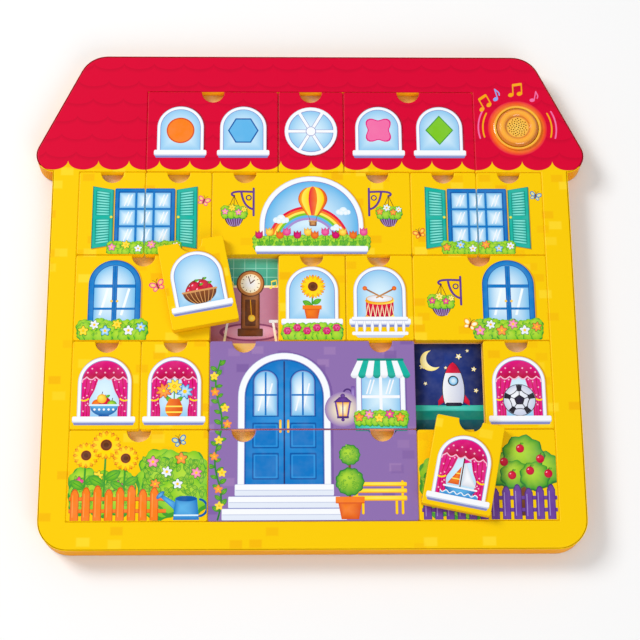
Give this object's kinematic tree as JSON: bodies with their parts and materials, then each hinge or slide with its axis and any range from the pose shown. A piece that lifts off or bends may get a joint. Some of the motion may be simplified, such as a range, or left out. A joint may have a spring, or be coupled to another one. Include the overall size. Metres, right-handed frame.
{
  "type": "musical house puzzle",
  "caption": "Flat house-shaped picture puzzle board with lift-out tiles that have finger notches, and a round press-to-play sound button with a speaker grille.",
  "frame": {"origin": "middle of the house outline's bounding box, on the board's flat back face", "axes": "+Z out of the picture, +Y from the house's foot to its roof, +X to the right of the picture"},
  "size_m": [0.383, 0.354, 0.025],
  "materials": {
    "black_plastic": "black plastic",
    "board": "bare fibreboard",
    "brass": "sheet brass",
    "circuit": "green circuit board",
    "module_plastic": "moulded plastic",
    "orange_plastic": "glossy moulded plastic",
    "picture": "printed paper on card",
    "steel": "plain steel",
    "wire_black": "black wire sleeve",
    "wire_red": "red wire sleeve",
    "wood_purple": "fibreboard with a satin purple print",
    "wood_red": "fibreboard with a satin red print",
    "wood_yellow": "fibreboard with a satin yellow print",
    "yellow_edge": "satin edge film",
    "yellow_plastic": "glossy moulded plastic"
  },
  "bodies": {
    "board": {"back_board": "board", "battery_cell_1": "steel", "battery_cell_2": "steel", "battery_cell_3": "steel", "battery_wire_black": "wire_black", "battery_wire_red": "wire_red", "bezel_collar": "orange_plastic", "circuit_board": "circuit", "contact_link_top": "brass", "contact_minus": "brass", "contact_plus": "brass", "core_board": "board", "edge_wrap": "yellow_edge", "front_frame": "wood_yellow", "module_housing": "module_plastic", "pcb_screw_left": "steel", "pcb_screw_right": "steel", "picture_board": "picture", "return_spring": "steel", "sound_chip": "black_plastic", "speaker_wire_left": "wire_black", "speaker_wire_right": "wire_red", "switch_body": "black_plastic"},
    "button": {"button_cap": "yellow_plastic", "speaker_carrier": "module_plastic", "speaker_magnet": "steel", "speaker_frame": "black_plastic", "speaker_cone": "black_plastic", "switch_plunger": "module_plastic"},
    "battery_door": {"battery_door": "module_plastic", "battery_door_screw": "steel", "contact_link_door": "brass"},
    "tile_roof_left": {"tile_roof_left": "wood_red"},
    "tile_roof_centre": {"tile_roof_centre": "wood_red"},
    "tile_roof_right": {"tile_roof_right": "wood_red"},
    "tile_upper_1": {"tile_upper_1": "wood_yellow"},
    "tile_upper_2": {"tile_upper_2": "wood_yellow"},
    "tile_upper_3": {"tile_upper_3": "wood_yellow"},
    "tile_upper_4": {"tile_upper_4": "wood_yellow"},
    "tile_upper_5": {"tile_upper_5": "wood_yellow"},
    "tile_middle_1": {"tile_middle_1": "wood_yellow"},
    "tile_middle_2": {"tile_middle_2": "wood_yellow"},
    "tile_middle_3": {"tile_middle_3": "wood_yellow"},
    "tile_middle_4": {"tile_middle_4": "wood_yellow"},
    "tile_middle_5": {"tile_middle_5": "wood_yellow"},
    "tile_lower_1": {"tile_lower_1": "wood_yellow"},
    "tile_lower_2": {"tile_lower_2": "wood_yellow"},
    "tile_lower_3": {"tile_lower_3": "wood_purple"},
    "tile_lower_4": {"tile_lower_4": "wood_yellow"},
    "tile_lower_5": {"tile_lower_5": "wood_yellow"},
    "tile_ground_left": {"tile_ground_left": "wood_yellow"},
    "tile_ground_door": {"tile_ground_door": "wood_purple"},
    "tile_ground_right": {"tile_ground_right": "wood_yellow"}
  },
  "joints": [
    {"name": "roof_left_lift", "type": "slide", "parent": "board", "child": "tile_roof_left", "axis": [0, 0, 1], "range_m": [0, 0.03]},
    {"name": "roof_centre_lift", "type": "slide", "parent": "board", "child": "tile_roof_centre", "axis": [0, 0, 1], "range_m": [0, 0.03]},
    {"name": "roof_right_lift", "type": "slide", "parent": "board", "child": "tile_roof_right", "axis": [0, 0, 1], "range_m": [0, 0.03]},
    {"name": "upper_1_lift", "type": "slide", "parent": "board", "child": "tile_upper_1", "axis": [0, 0, 1], "range_m": [0, 0.03]},
    {"name": "upper_2_lift", "type": "slide", "parent": "board", "child": "tile_upper_2", "axis": [0, 0, 1], "range_m": [0, 0.03]},
    {"name": "upper_3_lift", "type": "slide", "parent": "board", "child": "tile_upper_3", "axis": [0, 0, 1], "range_m": [0, 0.03]},
    {"name": "upper_4_lift", "type": "slide", "parent": "board", "child": "tile_upper_4", "axis": [0, 0, 1], "range_m": [0, 0.03]},
    {"name": "upper_5_lift", "type": "slide", "parent": "board", "child": "tile_upper_5", "axis": [0, 0, 1], "range_m": [0, 0.03]},
    {"name": "middle_1_lift", "type": "slide", "parent": "board", "child": "tile_middle_1", "axis": [0, 0, 1], "range_m": [0, 0.03]},
    {"name": "middle_2_lift", "type": "slide", "parent": "tile_middle_1", "child": "tile_middle_2", "axis": [0, 0, 1], "range_m": [0, 0.09]},
    {"name": "middle_3_lift", "type": "slide", "parent": "board", "child": "tile_middle_3", "axis": [0, 0, 1], "range_m": [0, 0.03]},
    {"name": "middle_4_lift", "type": "slide", "parent": "board", "child": "tile_middle_4", "axis": [0, 0, 1], "range_m": [0, 0.03]},
    {"name": "middle_5_lift", "type": "slide", "parent": "board", "child": "tile_middle_5", "axis": [0, 0, 1], "range_m": [0, 0.03]},
    {"name": "lower_1_lift", "type": "slide", "parent": "board", "child": "tile_lower_1", "axis": [0, 0, 1], "range_m": [0, 0.03]},
    {"name": "lower_2_lift", "type": "slide", "parent": "board", "child": "tile_lower_2", "axis": [0, 0, 1], "range_m": [0, 0.03]},
    {"name": "lower_3_lift", "type": "slide", "parent": "board", "child": "tile_lower_3", "axis": [0, 0, 1], "range_m": [0, 0.03]},
    {"name": "lower_4_lift", "type": "slide", "parent": "tile_ground_right", "child": "tile_lower_4", "axis": [0, 0, 1], "range_m": [0, 0.06]},
    {"name": "lower_5_lift", "type": "slide", "parent": "board", "child": "tile_lower_5", "axis": [0, 0, 1], "range_m": [0, 0.03]},
    {"name": "ground_left_lift", "type": "slide", "parent": "board", "child": "tile_ground_left", "axis": [0, 0, 1], "range_m": [0, 0.03]},
    {"name": "ground_door_lift", "type": "slide", "parent": "board", "child": "tile_ground_door", "axis": [0, 0, 1], "range_m": [0, 0.03]},
    {"name": "ground_right_lift", "type": "slide", "parent": "board", "child": "tile_ground_right", "axis": [0, 0, 1], "range_m": [0, 0.03]},
    {"name": "button_press", "type": "slide", "parent": "board", "child": "button", "axis": [0, 0, -1], "range_m": [0, 0.0012], "stiffness_N_per_m": 800, "springref_m": -0.002, "deforming": ["return_spring", "speaker_wire_left", "speaker_wire_right"]},
    {"name": "battery_door_release", "type": "slide", "parent": "board", "child": "battery_door", "axis": [0, 0, -1], "range_m": [0, 0.03]}
  ],
  "couplings": [
    {"joint": "upper_2_lift", "follows": "middle_2_lift", "ratio": 0.33333},
    {"joint": "upper_3_lift", "follows": "middle_2_lift", "ratio": 0.33333},
    {"joint": "lower_5_lift", "follows": "lower_4_lift", "ratio": 0.5}
  ]
}
